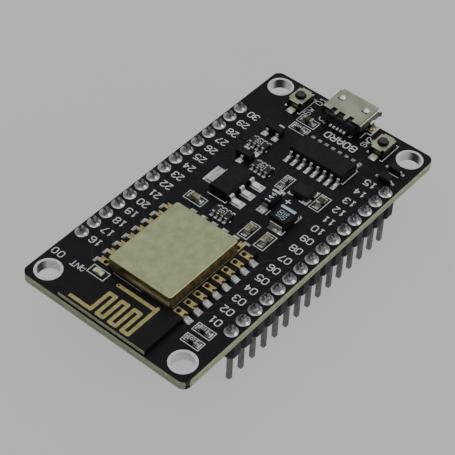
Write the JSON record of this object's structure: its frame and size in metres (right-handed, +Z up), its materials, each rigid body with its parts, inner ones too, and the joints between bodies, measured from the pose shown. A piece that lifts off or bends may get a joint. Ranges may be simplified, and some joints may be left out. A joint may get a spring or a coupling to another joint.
{
  "type": "microcontroller development board",
  "caption": "Black microcontroller development board with a shielded wireless module, printed antenna, micro-USB socket, two press buttons and two rows of downward header pins.",
  "frame": {"origin": "centre of the mounting-hole pattern on the circuit board's underside", "axes": "+X along the board toward the USB socket, +Y across the board toward the far header row, +Z up through the board to its component side"},
  "size_m": [0.0588, 0.0304, 0.0131],
  "materials": {
    "solder_mask": "satin black solder mask, pale green board at the cut edges",
    "header_plastic": "matt moulded black",
    "pin_metal": "tinned, dull",
    "solder": "bright solder",
    "tin_plate": "tin plated",
    "gold_plate": "thin gold plate",
    "module_mask": "satin black solder mask",
    "shield_metal": "nickel silver, satin",
    "socket_metal": "nickel plated, satin",
    "black_moulding": "matt moulded black",
    "package_black": "fine matt epoxy",
    "crystal_metal": "dark satin lid",
    "crystal_tray": "dark fired tray",
    "hidden_package": "matt epoxy",
    "hidden_passive": "fired ceramic",
    "led_lens": "clear pale resin",
    "capacitor_ceramic": "tan fired ceramic",
    "resistor_coat": "black glaze",
    "tantalum_moulding": "black epoxy with a pale polarity band",
    "button_moulding": "matt moulded black",
    "button_cover_metal": "plated steel, satin",
    "plunger_plastic": "matt black",
    "dome_steel": "spring steel"
  },
  "bodies": {
    "board": {"circuit_board": "solder_mask", "mounting_hole_rings": "solder", "solder_pads": "solder", "header_strip_far": "header_plastic", "header_strip_near": "header_plastic", "header_pins_far": "pin_metal", "header_pins_near": "pin_metal", "header_solder_far": "solder", "header_solder_near": "solder", "module_board": "module_mask", "module_edge_pads": "gold_plate", "module_solder_joints": "solder", "module_antenna_trace": "gold_plate", "module_shield_can": "shield_metal", "module_processor": "hidden_package", "module_flash_chip": "hidden_package", "module_crystal": "socket_metal", "module_passives": "hidden_passive", "module_led_lens": "led_lens", "module_led_terminals": "tin_plate", "usb_shell": "socket_metal", "usb_insulator": "black_moulding", "usb_contacts": "gold_plate", "usb_bridge_body": "package_black", "usb_bridge_leads": "tin_plate", "crystal_base": "crystal_tray", "crystal_lid": "crystal_metal", "regulator_body": "package_black", "regulator_leads": "tin_plate", "regulator_tab": "tin_plate", "left_transistor_body": "package_black", "left_transistor_leads": "tin_plate", "right_transistor_body": "package_black", "right_transistor_leads": "tin_plate", "diode_body": "package_black", "diode_leads": "tin_plate", "signal_diode_bodies": "package_black", "signal_diode_leads": "tin_plate", "tantalum_body": "tantalum_moulding", "tantalum_terminals": "tin_plate", "resistor_array_bodies": "resistor_coat", "resistor_array_terminals": "tin_plate", "chip_capacitor_bodies": "capacitor_ceramic", "chip_capacitor_terminals": "tin_plate", "chip_resistor_bodies": "resistor_coat", "chip_resistor_terminals": "tin_plate", "boot_button_base": "button_moulding", "boot_button_cover": "button_cover_metal", "boot_button_dome": "dome_steel", "boot_button_leads": "tin_plate", "reset_button_base": "button_moulding", "reset_button_cover": "button_cover_metal", "reset_button_dome": "dome_steel", "reset_button_leads": "tin_plate"},
    "boot_button": {"boot_button_plunger": "plunger_plastic"},
    "reset_button": {"reset_button_plunger": "plunger_plastic"}
  },
  "joints": [
    {"name": "boot_button_press", "type": "slide", "parent": "board", "child": "boot_button", "axis": [0, 0, -1], "range_m": [0, 0.00025], "stiffness_N_per_m": 2000, "springref_m": -0.0001, "deforming": ["boot_button_dome"]},
    {"name": "reset_button_press", "type": "slide", "parent": "board", "child": "reset_button", "axis": [0, 0, -1], "range_m": [0, 0.00025], "stiffness_N_per_m": 2000, "springref_m": -0.0001, "deforming": ["reset_button_dome"]}
  ]
}
